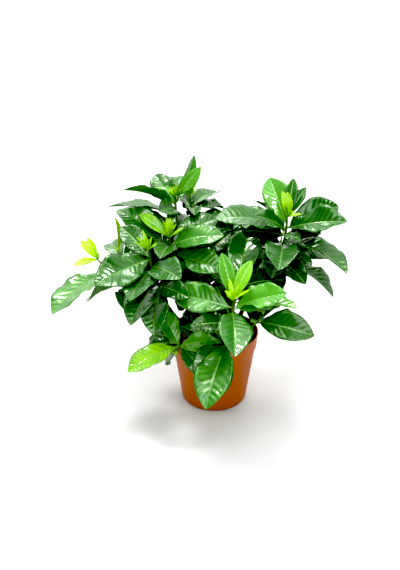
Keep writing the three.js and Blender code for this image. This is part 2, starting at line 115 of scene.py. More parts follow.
# Shoots: (name, cutting, elbow, tip, (spikes, longest spike), leaves, young leaves, whorls). A leaf is
# (share of the way from fork to tip, turn, rise, length, roll, tone), a young leaf has no share, and a whorl
# of three has no roll. Tone goes from 0, the darkest green, to 1, the brightest young one. It is partly the
# leaf's age and partly painted light and shade: a leaf in the shade of others, and the whorls deep inside,
# have lower tones as painted shade, and a lit or glinting leaf has a higher tone as painted light.
SHOOTS = [
    ("sprig", "sprig", (-47, -58, 126), (-52, -72, 114), (2, 8), [
        (0.72, 208, -14, 80, 14, 0.78), (0.72, 122, 40, 60, 0, 0.6), (0.72, 340, 21, 61, 0, 0.6),
        (0.6, 160, 2, 44, 0, 0.2), (0.65, 316, -22, 58, 0, 0.45), (0.6, 344, -50, 56, 0, 0.4),
        (0.6, 106, -50, 54, 0, 0.4),
    ], [], []),
    ("apron", "front", (16, -72, 130), (17, -92, 139), (2, 8), [
        (0.8, 253, -27, 102, 0, 0.5), (0.75, 222, -20, 68, 0, 0.4), (0.6, 140, 12, 72, 0, 0.25),
    ], [], []),
    ("front", "front", (22, -85, 145), (24, -95, 203), (5, 24), [
        (0.93, 161, 5, 86, 0, 0.5), (0.93, 341, 25, 78, -12, 0.6), (0.9, 336, 14, 90, -40, 0.6),
        (0.88, 271, -12, 88, 0, 0.45), (0.66, 206, 8, 60, 0, 0.15), (0.64, 95, -12, 65, 0, 0.2),
    ], [(118, 58, 64, 0, 0.62), (52, 50, 57, 0, 0.75)], []),
    ("centre", "front", (28, -50, 165), (30, -34, 208), (2, 12), [
        (0.88, 74, 38, 98, 0, 0.36), (0.86, 28, 18, 84, 0, 0.35), (0.84, 128, 7, 74, 0, 0.3),
    ], [], [(0.68, 100, -4, 72, 0.15)]),
    ("low_right", "front", (46, -56, 135), (64, -60, 165), (2, 10), [
        (0.85, 336, -2, 82, 10, 0.3), (0.82, 10, -11, 78, 0, 0.3), (0.78, 285, 16, 40, 0, 0.5),
        (0.7, 30, 32, 84, 0, 0.2), (0.68, 85, 22, 76, 0, 0.2),
    ], [], []),
    ("middle_left", "left", (-58, -5, 200), (-63, -10, 257), (6, 26), [
        (0.93, 30, 20, 79, 0, 0.3), (0.93, 346, 16, 79, 0, 0.5), (0.92, 261, 6, 64, 0, 0.35),
        (0.85, 162, 31, 97, 30, 0.3), (0.8, 333, -6, 82, 0, 0.5),
    ], [(154, 12, 55, 0, 0.75), (26, 14, 54, 0, 0.6)], [(0.7, 100, -4, 70, 0.15)]),
    ("left", "outer", (-80, -50, 190), (-87, -60, 258), (6, 24), [
        (0.93, 140, 31, 64, 0, 0.3), (0.93, 226, -5, 92, 0, 0.35), (0.8, 254, -1, 82, 0, 0.35),
        (0.84, 304, -2, 76, 0, 0.35), (0.62, 253, -11, 94, 0, 0.3), (0.6, 316, 2, 62, 0, 0.35),
        (0.58, 270, -24, 84, 0, 0.3),
    ], [], []),
    ("crown", "left", (-56, 36, 225), (-58, 45, 299), (4, 16), [
        (0.91, 207, 25, 88, 60, 0.3), (0.93, 134, 28, 64, 0, 0.35), (0.93, 84, 36, 66, 0, 0.42),
        (0.94, 156, 34, 40, 20, 0.6), (0.85, 174, 4, 102, 50, 0.3), (0.89, 251, 16, 64, -20, 0.3),
    ], [(60, 44, 72, 66, 0.5), (345, 50, 60, 40, 0.65)], [(0.76, 175, -4, 78, 0.2)]),
    ("right", "right", (98, 15, 190), (100, 15, 279), (4, 20), [
        (0.93, 16, 19, 82, 0, 0.3), (0.93, 336, 10, 88, 0, 0.35), (0.93, 190, 11, 104, 14, 0.35),
        (0.9, 132, 29, 74, 60, 0.2), (0.91, 206, 30, 60, 0, 0.3), (0.86, 148, 6, 78, 0, 0.25),
        (0.8, 261, -2, 94, 0, 0.35), (0.8, 325, -13, 102, -42, 0.3), (0.62, 322, -19, 96, -34, 0.25),
        (0.88, 293, 6, 40, 0, 0.4), (0.83, 31, -2, 66, 0, 0.45), (0.78, 14, -15, 82, 0, 0.3),
        (0.62, 258, 4, 78, 0, 0.2), (0.96, 116, 56, 76, 0, 0.6),
    ], [(72, 50, 56, 0, 0.4), (48, 42, 50, 0, 0.4), (232, 66, 46, 0, 0.85)],
        [(0.68, 60, -5, 72, 0.2)]),
    ("crown_back", "left", (-30, 60, 225), (-37, 58, 291), (4, 14), [
        (0.93, 40, -12, 66, -30, 0.3), (0.93, 56, 3, 64, -20, 0.35), (0.92, 278, 8, 52, 0, 0.3),
        (0.93, 108, 8, 60, 0, 0.3), (0.82, 5, -6, 62, -20, 0.25),
    ], [(82, 52, 34, 0, 0.75)], [(0.74, 60, -10, 68, 0.2)]),
    ("far_left", "outer", (-120, 5, 165), (-168, 20, 211), (3, 14), [
        (0.86, 227, -18, 108, 38, 0.5), (0.66, 244, 5, 86, 78, 0.3), (0.6, 272, -6, 62, 0, 0.3),
        (0.62, 236, 20, 58, 0, 0.4), (0.62, 60, 0, 64, 0, 0.3),
    ], [(160, 44, 38, 0, 1), (205, -6, 36, 0, 1)], []),
    ("behind", "back", (20, 42, 200), (25, 40, 262), (6, 20), [
        (0.93, 70, 8, 60, 0, 0.35), (0.93, 133, -5, 60, 0, 0.35), (0.91, 330, -2, 56, 0, 0.25),
        (0.91, 240, -8, 62, 0, 0.12),
    ], [], [(0.78, 10, 0, 72, 0.14), (0.64, 70, -8, 72, 0.1)]),
    ("inner", "left", (-20, -8, 180), (-14, -16, 212), (2, 12), [], [],
        [(0.9, 250, 2, 66, 0.15), (0.74, 190, -6, 66, 0.1)]),
    ("back_left", "outer", (-110, 20, 170), (-142, 40, 214), (2, 14), [
        (0.93, 60, 10, 62, 0, 0.4), (0.92, 110, 6, 60, 0, 0.4),
    ], [(104, 62, 54, 70, 0.9)], [(0.78, 260, -4, 66, 0.25), (0.66, 30, -6, 68, 0.25)]),
    ("right_back", "right", (92, 60, 180), (100, 78, 226), (3, 14), [], [],
        [(0.93, 20, 4, 66, 0.35), (0.8, 80, -6, 66, 0.3), (0.66, 20, -10, 66, 0.2)]),
    ("far_back", "back", (35, 100, 180), (42, 104, 226), (3, 14), [], [],
        [(0.93, 60, 8, 68, 0.35), (0.8, 0, -2, 70, 0.3), (0.66, 50, -8, 70, 0.2)]),
    ("back_centre", "back", (-42, 90, 180), (-52, 98, 232), (3, 14), [], [],
        [(0.93, 100, 8, 68, 0.35), (0.8, 40, -2, 70, 0.3), (0.66, 90, -8, 70, 0.2)]),
    ("low_left", "sprig", (-44, -44, 132), (-50, -44, 144), (2, 8), [
        (0.92, 174, -52, 70, 0, 0.4), (0.9, 345, -22, 66, 0, 0.35), (0.84, 30, -26, 62, 0, 0.3),
        (0.76, 142, -34, 62, 0, 0.35), (0.68, 60, 0, 60, 0, 0.2),
    ], [], []),
]

# The narrow leaves that crowd the larger buds, by shoot: (turn, rise, length, breadth, tone).
TUFTS = {
    "front": [
        (156, 78, 32, 6.5, 0.95), (200, 52, 20, 6, 0.95), (300, 44, 13, 5, 1), (345, 40, 28, 4.5, 0.9),
        (95, 60, 26, 4, 0.8), (20, 72, 24, 3.6, 0.9),
    ],
    "middle_left": [
        (230, 66, 30, 4.6, 0.85), (244, 72, 31, 5, 0.9), (262, 76, 32, 5, 0.95), (285, 76, 33, 5, 0.95),
        (300, 68, 31, 4.6, 0.9), (320, 60, 28, 4.2, 0.85), (205, 58, 36, 3.2, 0.7), (120, 70, 30, 4.6, 0.8),
        (60, 66, 28, 4.4, 0.8),
    ],
    "left": [
        (225, 50, 31, 4.8, 0.85), (244, 56, 29, 4.8, 0.9), (262, 64, 30, 4.2, 0.8), (275, 56, 26, 5, 0.95),
        (290, 62, 23, 4.6, 0.95), (215, 36, 28, 4, 0.85), (130, 62, 28, 4.6, 0.8),
    ],
    "crown": [
        (240, 52, 22, 4.4, 0.95), (262, 60, 21, 4.6, 1), (285, 62, 23, 4.2, 0.95), (215, 44, 20, 4, 0.9),
        (320, 50, 19, 4, 0.9),
    ],
    "crown_back": [(282, 60, 33, 15, 0.72), (240, 58, 20, 4, 0.95), (320, 50, 20, 4, 0.9)],
    "right": [
        (228, 62, 33, 9, 0.6), (255, 74, 42, 14, 0.85), (275, 64, 24, 4.6, 0.95), (319, 42, 18, 5.5, 1),
        (345, 20, 21, 4.6, 0.95), (250, 52, 28, 5, 0.7),
    ],
    "behind": [(240, 66, 22, 4, 0.85), (300, 66, 22, 4, 0.9), (270, 78, 24, 4.4, 0.9)],
    "far_left": [(135, 52, 36, 13, 1), (225, 8, 26, 9, 0.95)],
}


def heading(turn, rise):
    """The unit vector with this turn from +X towards +Y, and this rise above the horizontal."""
    a, b = math.radians(turn), math.radians(rise)
    return np.array((math.cos(b) * math.cos(a), math.cos(b) * math.sin(a), math.sin(b)))


def unit(vector):
    return vector / np.linalg.norm(vector)


def drawer(seed):
    """A seeded draw from 0 to 1, the same on every run and the same as the CAD part's."""
    state = [seed]

    def draw():
        state[0] = (state[0] * 1664525 + 1013904223) % 4294967296
        return state[0] / 4294967296

    return draw


class Curve:
    """A quadratic Bezier curve."""

    def __init__(self, start, elbow, end):
        self.start, self.elbow, self.end = (np.array(p, float) for p in (start, elbow, end))

    def at(self, t):
        return (1 - t) ** 2 * self.start + 2 * t * (1 - t) * self.elbow + t * t * self.end

    def tangent(self, t):
        return unit((1 - t) * (self.elbow - self.start) + t * (self.end - self.elbow))


def shoot_curve(cutting, elbow, tip):
    return Curve(CUTTINGS[cutting][1], elbow, tip)


def trunk_curve(cutting):
    (x, y), fork = CUTTINGS[cutting]
    return Curve((x, y, ROOT_END), (x, y, SOIL_LEVEL + 12), fork)


def leaf_row(curve, draw, share, turn, rise, length, roll, tone):
    """A grown leaf on its shoot, with its own breadth, arch, fold and wave by seeded draws."""
    row = {
        "foot": curve.at(share), "turn": turn, "rise": rise, "span": length,
        "breadth": length * LEAF_BREADTH * (0.94 + 0.14 * draw()),
        "arch": math.radians(LEAF_ARCH * (0.6 + 0.8 * draw())),
        "fold": math.radians(LEAF_FOLD * (0.6 + 0.8 * draw())),
        "roll": math.radians(roll + 20 * (draw() - 0.5)),
        "wave": LEAF_WAVE * (0.5 + draw()), "waves": 1.2 + 1.2 * draw(), "phase": 2 * math.pi * draw(),
        "stalk": PETIOLE_RADIUS, "rib": MIDRIB, "tone": tone,
    }
    row["quilt"] = 0.85 + 0.35 * math.sin(3 * row["phase"])
    return row


def young_row(curve, draw, turn, rise, length, roll, tone):
    """A young leaf, or a spike where it is short, on the bud at the shoot's tip."""
    spike = length <= SPIKE
    axis = curve.tangent(1)
    foot = curve.at(1) + axis * GAP
    return {
        "foot": foot + axis * BUD_HEIGHT * (0.55 + 0.25 * draw()), "turn": turn, "rise": rise, "span": length,
        "breadth": max(LEAST_BREADTH, length * (SPIKE_BREADTH if spike else YOUNG_BREADTH)),
        "arch": math.radians(10 + 26 * draw()), "fold": math.radians(YOUNG_FOLD), "roll": math.radians(roll),
        "wave": 0.4, "waves": 1.0, "phase": 0.0, "stalk": 0.9, "rib": 0.3,
        "quilt": 0.15 if spike else 0.7, "tone": tone,
    }


def settled(rows, node):
    """The rows whose tip is a vertex of the CAD node, turned as far as each has yielded there."""
    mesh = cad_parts[node].data
    tree = KDTree(len(mesh.vertices))
    for i, vertex in enumerate(mesh.vertices):
        tree.insert(vertex.co, i)
    tree.balance()
    kept = []
    for row in rows:
        for turn, rise in YIELDS:
            tip = row["foot"] + row["span"] * heading(row["turn"] + turn, row["rise"] + rise)
            if tree.find(Vector(tip * MM))[2] < 0.03 * MM:
                kept.append(dict(row, turn=row["turn"] + turn, rise=row["rise"] + rise))
                break
    return kept


def grown(i):
    """A shoot's leaf rows and young rows, in the CAD part's order of draws."""
    name, cutting, elbow, tip, (count, longest), leaves, young, whorls = SHOOTS[i]
    curve, draw = shoot_curve(cutting, elbow, tip), drawer(7919 * (i + 1))
    old = [leaf_row(curve, draw, *row) for row in leaves]
    new = [young_row(curve, draw, *row) for row in young]
    for j in range(count):
        outward = (j + 0.5) / count
        rise = INNER_RISE + (OUTER_RISE - INNER_RISE) * outward
        length = longest * (1 - 0.35 * draw())
        turn = j * SPIKE_TURN + 40 * draw()
        new.append(young_row(curve, draw, turn, rise, length, 0, 0.85))
    for share, turn, rise, length, tone in whorls:
        for j in range(3):
            place = (share - 0.02 * j, turn + 120 * j, rise - 4 * j, length - 3 * j)
            old.append(leaf_row(curve, draw, *place, 0, tone))
    return settled(old, f"shoot_{name}"), settled(new, f"bud_{name}")


def leaf_frame(row):
    """The leaf's frame: along its chord, to its left, and up from its face."""
    along, lit = heading(row["turn"], row["rise"]), heading(*LIGHT)
    lit = unit(lit - (lit @ along) * along)
    side = np.cross(lit, along)
    c, s = math.cos(row["roll"]), math.sin(row["roll"])
    return along, side * c + lit * s, lit * c - side * s


def sheet(row, lift):
    """The leaf's middle surface in metres, raised by lift: its coarse grid of points and quads."""
    along, left, up = leaf_frame(row)
    share, across = np.meshgrid(np.linspace(0.16, 1, 6), (-1, 0, 1), indexing="ij")
    bend, s = row["arch"] / 2, (share - PETIOLE) / (1 - PETIOLE)
    radius, lean = row["span"] / (2 * math.sin(bend)), row["arch"] * (0.5 - share)
    half = row["breadth"] / 2 * np.sin(math.pi * s ** SHOULDER).clip(0) ** (BLUNTNESS + TAPER * s)
    chordwise = radius * (math.sin(bend) - np.sin(lean))
    height = radius * (np.cos(lean) - math.cos(bend)) + abs(across) * half * math.sin(row["fold"]) + lift
    points = row["foot"] + sum(size[..., None] * way for size, way in (
        (chordwise, along), (height, up), (across * half, left)))
    quads = [(3 * i + j, 3 * i + j + 1, 3 * i + j + 4, 3 * i + j + 3) for i in range(5) for j in range(2)]
    return points.reshape(-1, 3) * MM, quads


class Crowd:
    """The CAD solids and the shaded leaves among them, for finding where one more leaf has room."""

    WAYS, NEAR = 24, 90  # the directions looked in from a place, and how far
    LOW, FRONT = 175, -40  # below and in front of these, a shaded leaf could hide the named ones
    ENOUGH, ENOUGH_LOW = 0.54, 0.66  # the share of directions that must meet something: elsewhere, and there
    CLEARANCE = 1.3
    MIDDLE, TIP = 7, 16  # where a sheet's points hold the middle and the tip of its midrib

    def __init__(self):
        points, faces = [], []
        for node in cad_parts.values():
            start = len(points)
            points.extend(node.matrix_world @ vertex.co for vertex in node.data.vertices)
            faces.extend([start + k for k in face.vertices] for face in node.data.polygons)
        self.solids = BVHTree.FromPolygons(points, faces)
        self.added = []
        spiral = math.pi * (3 - math.sqrt(5))
        self.ways = [heading(math.degrees(spiral * i), math.degrees(math.asin(1 - (2 * i + 1) / self.WAYS)))
                     for i in range(self.WAYS)]

    def enclosed(self, place):
        """Whether leaves or the pot lie near in most directions. Low at the front, more of them must."""
        rays = (self.solids.ray_cast(Vector(place), Vector(way), self.NEAR * MM) for way in self.ways)
        hits = sum(ray[0] is not None for ray in rays)
        low_front = place[2] < self.LOW * MM and place[1] < self.FRONT * MM
        return hits >= (self.ENOUGH_LOW if low_front else self.ENOUGH) * self.WAYS

    def seat(self, row):
        """Keeps the leaf and says True where it clears everything and is enclosed."""
        sheets = [BVHTree.FromPolygons(*sheet(row, lift)) for lift in (-self.CLEARANCE, self.CLEARANCE)]
        if any(one.overlap(other) for one in sheets for other in (self.solids, *self.added)):
            return False
        points, _ = sheet(row, 0)
        if not all(self.enclosed(points[k]) for k in (self.MIDDLE, self.TIP)):
            return False
        self.added.extend(sheets)
        return True


def shaded(i, crowd, most):
    """Dark leaves inside a shoot's foliage, up to this many, by seeded draws. Their dark tones are painted
    shade.
    """
    _, cutting, elbow, tip, *_rest = SHOOTS[i]
    curve, draw, rows = shoot_curve(cutting, elbow, tip), drawer(6151 * (i + 3)), []
    for _ in range(SHADED_TRIES):
        # its share of the shoot, turn, rise and length
        place = (0.25 + 0.65 * draw(), 360 * draw(), 90 * draw() - 50, 42 + 26 * draw())
        # painted shade: a dark tone from 0.02 to 0.16
        row = leaf_row(curve, draw, *place, 0, 0.02 + 0.14 * draw())
        if len(rows) < most and crowd.seat(row):
            rows.append(row)
    return rows


# ---------------------------------------------------------------- nodes written as expressions


class Value:
    """One output of a node. Python's operators on it add the Math or Vector Math nodes."""

    def __init__(self, graph, socket):
        self.graph, self.socket = graph, socket

    def out(self, name):
        return Value(self.graph, self.socket.node.outputs[name])

    def __add__(self, other):
        return self.graph.maths("ADD", self, other)

    def __sub__(self, other):
        return self.graph.maths("SUBTRACT", self, other)

    def __rsub__(self, other):
        return self.graph.maths("SUBTRACT", other, self)

    def __mul__(self, other):
        return self.graph.maths("MULTIPLY", self, other)

    def __truediv__(self, other):
        return self.graph.maths("DIVIDE", self, other)

    def __pow__(self, other):
        return self.graph.maths("POWER", self, other)

    def __abs__(self):
        return self.graph.maths("ABSOLUTE", self)

    __radd__, __rmul__ = __add__, __mul__


def is_vector(term):
    return term.socket.type == "VECTOR" if isinstance(term, Value) else isinstance(term, (tuple, Vector))


class Graph:
    """A node tree that is built from Python."""

    def __init__(self, tree):
        self.tree = tree
        tree.nodes.clear()

    def node(self, kind, settings=None, inputs=None, output=0):
        made = self.tree.nodes.new(kind)
        for name, value in (settings or {}).items():
            setattr(made, name, value)
        for key, value in (inputs or {}).items():
            if isinstance(value, Value):
                self.tree.links.new(value.socket, made.inputs[key])
            else:
                made.inputs[key].default_value = value
        return Value(self, made.outputs[output]) if made.outputs else made

    def maths(self, operation, *terms):
        vectors = sum(map(is_vector, terms))
        if operation == "MULTIPLY" and vectors == 1:
            vector, number = sorted(terms, key=is_vector, reverse=True)
            return self.node("ShaderNodeVectorMath", {"operation": "SCALE"}, {0: vector, "Scale": number})
        kind = "ShaderNodeVectorMath" if vectors else "ShaderNodeMath"
        return self.node(kind, {"operation": operation}, dict(enumerate(terms)))

    def sin(self, angle):
        return self.maths("SINE", angle)

    def cos(self, angle):
        return self.maths("COSINE", angle)

    def floor_at(self, value, lowest):
        return self.maths("MAXIMUM", value, lowest)

    def smooth(self, value, low, high, start=0.0, end=1.0):
        """start where value is low or less, end where it is high or more, and smooth between."""
        return self.node("ShaderNodeMapRange", {"interpolation_type": "SMOOTHSTEP"},
                         {0: value, 1: low, 2: high, 3: start, 4: end})

    def parts(self, vector):
        split = self.node("ShaderNodeSeparateXYZ", inputs={0: vector})
        return split, split.out("Y"), split.out("Z")


class GeometryGraph(Graph):
    """A Geometry Nodes tree with named inputs."""

    def __init__(self, name, sizes):
        super().__init__(bpy.data.node_groups.new(name, "GeometryNodeTree"))
        face = self.tree.interface
        face.new_socket("Geometry", in_out="INPUT", socket_type="NodeSocketGeometry")
        face.new_socket("Geometry", in_out="OUTPUT", socket_type="NodeSocketGeometry")
        for label, kind in sizes.items():
            face.new_socket(label, in_out="INPUT", socket_type=f"NodeSocket{kind}")
        self.given = self.node("NodeGroupInput")

    def read(self, name, kind="FLOAT"):
        return self.node("GeometryNodeInputNamedAttribute", {"data_type": kind}, {"Name": name})

    def keep(self, geometry, name, value):
        return self.node("GeometryNodeStoreNamedAttribute", {"data_type": "FLOAT", "domain": "POINT"},
                         {"Geometry": geometry, "Name": name, "Value": value})

    def roughened(self, geometry, height):
        """The geometry, raised along its normals by height."""
        return self.node("GeometryNodeSetPosition", inputs={
            "Geometry": geometry, "Offset": self.node("GeometryNodeInputNormal") * height})

    def finish(self, geometry, material):
        """Ends the tree in plain, smooth mesh with its material."""
        real = self.node("GeometryNodeRealizeInstances", inputs={0: geometry})
        smooth = self.node("GeometryNodeSetShadeSmooth", inputs={0: real})
        dressed = self.node("GeometryNodeSetMaterial", inputs={0: smooth, "Material": material})
        self.node("NodeGroupOutput", inputs={0: dressed})
        return self.tree


class MaterialGraph(Graph):
    """A material on one Principled BSDF, with constants on its own sockets."""

    def __init__(self, name, **constants):
        self.material = bpy.data.materials.new(name)
        self.material.use_nodes = True
        super().__init__(self.material.node_tree)
        self.shader = self.tree.nodes.new("ShaderNodeBsdfPrincipled")
        output = self.tree.nodes.new("ShaderNodeOutputMaterial")
        self.tree.links.new(self.shader.outputs[0], output.inputs[0])
        for label, value in constants.items():
            self.shader.inputs[label.replace("_", " ")].default_value = value

    def read(self, name):
        return self.node("ShaderNodeAttribute", {"attribute_name": name}, output="Fac")

    def mix(self, share, first, second):
        """A colour from first to second by share."""
        return self.node("ShaderNodeMix", {"data_type": "RGBA"}, {0: share, 6: first, 7: second}, output=2)

    def ramp(self, value, stops):
        made = self.node("ShaderNodeValToRGB", inputs={0: value})
        elements = made.socket.node.color_ramp.elements
        while len(elements) < len(stops):
            elements.new(0.5)
        for element, (place, colour) in zip(elements, stops):
            element.position, element.color = place, colour
        return made

    def here(self):
        return self.node("ShaderNodeTexCoord", output="Object")

    def noise(self, scale, detail=3.0, rough=0.55, place=None):
        return self.node("ShaderNodeTexNoise", inputs={
            "Vector": place or self.here(), "Scale": scale, "Detail": detail, "Roughness": rough})

    def bump(self, height, distance, strength=1.0):
        return self.node("ShaderNodeBump", inputs={
            "Height": height, "Distance": distance, "Strength": strength})

    def set(self, **values):
        for label, value in values.items():
            self.tree.links.new(value.socket, self.shader.inputs[label.replace("_", " ")])
        return self.material


# ---------------------------------------------------------------- settings


def length_setting(name, description, default, **limits):
    return FloatProperty(name=name, description=description, default=default, unit="LENGTH", precision=5,
                         **limits)


def colour_setting(name, description, default):
    return FloatVectorProperty(name=name, description=description, default=default, size=4, subtype="COLOR",
                               min=0, max=1)


def share_setting(name, description, default, high=1.0):
    return FloatProperty(name=name, description=description, default=default, min=0, max=high)


def count_setting(name, description, default, least=0):
    return IntProperty(name=name, description=description, default=default, min=least)


class GardeniaPotSettings(bpy.types.PropertyGroup):
    segments: count_setting("Segments", "Sides of the pot's round", 144, 24)
    drain_radius: length_setting("Drain Hole", "Radius of each drain hole", 0.004)
    plastic: colour_setting("Plastic", "Colour of the pot's plastic", (0.41, 0.100, 0.010, 1))
    worn: colour_setting("Rubbed Plastic", "Colour of the plastic where rubbed", (0.47, 0.135, 0.018, 1))
    dust: colour_setting("Dust", "Colour of the dust near the pot's foot", (0.17, 0.10, 0.05, 1))


class GardeniaSoilSettings(bpy.types.PropertyGroup):
    crumb: length_setting("Crumb", "Radius of a middling crumb of soil", 0.0013)
    density: FloatProperty(name="Crumbs", description="Crumbs in a square metre", default=70000, min=0)
    seed: count_setting("Seed", "Where the crumbs fall", 11)
    dark: colour_setting("Wet Soil", "Colour of the soil's hollows", (0.008, 0.005, 0.003, 1))
    light: colour_setting("Dry Soil", "Colour of the soil's crumbs", (0.055, 0.03, 0.016, 1))
    chips: colour_setting("Chips", "Colour of the chips of bark in the soil", (0.16, 0.10, 0.055, 1))


class GardeniaStemSettings(bpy.types.PropertyGroup):
    sides: count_setting("Sides", "Sides of a stem's round", 16, 5)
    relief: length_setting("Bark Relief", "How deep the bark is cracked", 0.0005)
    bark: colour_setting("Bark", "Colour of the woody stems", (0.16, 0.105, 0.055, 1))
    cracks: colour_setting("Bark Cracks", "Colour in the cracks of the bark", (0.045, 0.028, 0.015, 1))
    flecks: colour_setting("Bark Flecks", "Colour of the pale flecks on the bark", (0.32, 0.25, 0.16, 1))
    green: colour_setting("Green Stem", "Colour of the stems' green ends", (0.045, 0.12, 0.018, 1))


class GardeniaLeafSettings(bpy.types.PropertyGroup):
    stations: count_setting("Stations", "Vertices along a leaf", 68, 8)
    columns: count_setting("Columns", "Vertices across a leaf", 15, 3)
    vein_pairs: FloatProperty(name="Vein Pairs", description="Pairs of side veins", default=10, min=2)
    # dark leaves put inside the foliage as painted shade
    shaded: count_setting("Shaded Leaves", "The most dark leaves inside a shoot", 11)
    quilting: length_setting("Quilting", "How far the leaf swells between its veins", 0.0010)
    thickness: length_setting("Thickness", "Thickness of a leaf", 0.0005, min=0.0002)
    # The greens are stops along a leaf's tone, which is partly age and partly painted light and shade, so the
    # oldest leaves' colour also paints the shade of the dark leaves inside the foliage.
    darkest: colour_setting("Oldest Leaf", "Colour of the oldest leaves", (0.004, 0.022, 0.005, 1))
    middle: colour_setting("Grown Leaf", "Colour of grown leaves", (0.028, 0.121, 0.026, 1))
    fresh: colour_setting("Fresh Leaf", "Colour of fresh leaves", (0.125, 0.41, 0.045, 1))
    brightest: colour_setting("Youngest Leaf", "Colour of the youngest leaves", (0.47, 0.80, 0.02, 1))
    vein: colour_setting("Midrib", "Colour of the midrib and veins", (0.26, 0.50, 0.10, 1))
    underside: colour_setting("Underside", "Colour of the leaves' undersides", (0.055, 0.17, 0.035, 1))


class GardeniaYoungSettings(bpy.types.PropertyGroup):
    stations: count_setting("Stations", "Vertices along a young leaf", 34, 8)
    columns: count_setting("Columns", "Vertices across a young leaf", 9, 3)
    spikes: count_setting("Spikes", "Small spikes added round each bud", 4)


class GardeniaStageSettings(bpy.types.PropertyGroup):
    floor: colour_setting("Floor", "Colour of the floor", (0.6, 0.6, 0.6, 1))
    distance: colour_setting("Distance", "Colour of the floor far away", (0.3, 0.3, 0.3, 1))
    sky: share_setting("Sky", "Strength of the light from above and behind", 1.1, high=5)
    shade: share_setting("Shade", "Strength of the light from the front and below", 0.02, high=5)
    lamps: share_setting("Lamps", "Strength of all the lamps", 1.08, high=5)
    black: share_setting("Black", "How bright a colour may be and still show as black", 0.035)
    white: share_setting("White", "How bright a colour must be to show as white", 0.8)


SETTINGS = {
    "gardenia_pot": GardeniaPotSettings, "gardenia_soil": GardeniaSoilSettings,
    "gardenia_stems": GardeniaStemSettings, "gardenia_leaves": GardeniaLeafSettings,
    "gardenia_young": GardeniaYoungSettings, "gardenia_stage": GardeniaStageSettings,
}

# ---------------------------------------------------------------- from trees to pieces


def points_object(name, places, edges=(), floats=None, vectors=None):
    """A mesh of loose points, or of lines, that carries attributes into a tree."""
    mesh = bpy.data.meshes.new(name)
    mesh.from_pydata([tuple(p) for p in places], list(edges), [])
    for kind, slot_name, table in (("FLOAT", "value", floats), ("FLOAT_VECTOR", "vector", vectors)):
        for label, values in (table or {}).items():
            made = mesh.attributes.new(label, kind, "POINT")
            made.data.foreach_set(slot_name, np.array(values, np.float32).ravel())
    made = bpy.data.objects.new(name, mesh)
    bpy.context.scene.collection.objects.link(made)
    return made


def grow(obj, tree, sizes, keep=()):
    """Runs a Geometry Nodes tree on an object and leaves its result as the object's plain mesh."""
    modifier = obj.modifiers.new("Tree", "NODES")
    modifier.node_group = tree
    for item in tree.interface.items_tree:
        if item.in_out == "INPUT" and item.name in sizes:
            modifier[item.identifier] = sizes[item.name]
    bpy.context.view_layer.update()
    depsgraph = bpy.context.evaluated_depsgraph_get()
    mesh = bpy.data.meshes.new_from_object(
        obj.evaluated_get(depsgraph), preserve_all_data_layers=True, depsgraph=depsgraph)
    obj.modifiers.remove(modifier)
    mesh.name = obj.name
    spent, obj.data = obj.data, mesh
    bpy.data.meshes.remove(spent)
    spare = [a.name for a in mesh.attributes if a.domain == "POINT" and not a.is_internal
             and a.name not in ("position", *keep)]
    for label in spare:
        mesh.attributes.remove(mesh.attributes[label])
    return obj


def joined(pieces):
    """Several objects as one mesh, under the first one's name."""
    for piece in bpy.context.selected_objects:
        piece.select_set(False)
    for piece in pieces:
        piece.select_set(True)
    bpy.context.view_layer.objects.active = pieces[0]
    bpy.ops.object.join()
    return pieces[0]


def deliver(piece, node):
    """A finished piece stands for its CAD node and rides on the one body."""
    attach(piece, "root")
    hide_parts(node)


# ---------------------------------------------------------------- leaves

LEAF_FLOATS = ("span", "breadth", "arch", "fold", "wave", "waves", "phase", "stalk", "rib", "quilt", "tone")
LEAF_LENGTHS = ("span", "breadth", "wave", "stalk", "rib")
LEAF_KEPT = ("share", "across", "face", "tone", "rib_gap", "vein")
CREASE = 0.006  # how round the fold is along the midrib
VEIN_LEAN, VEIN_BEND = 0.62, 0.035  # how far side veins run forwards, and bend up by the margin
MIDDLING_LEAF = 80  # the length of a leaf whose quilting is as deep as the setting says
RIDGE_REACH, GROOVE_REACH, GROOVE_DEPTH = 1.9, 2.2, 0.25  # the midrib below, and its groove above


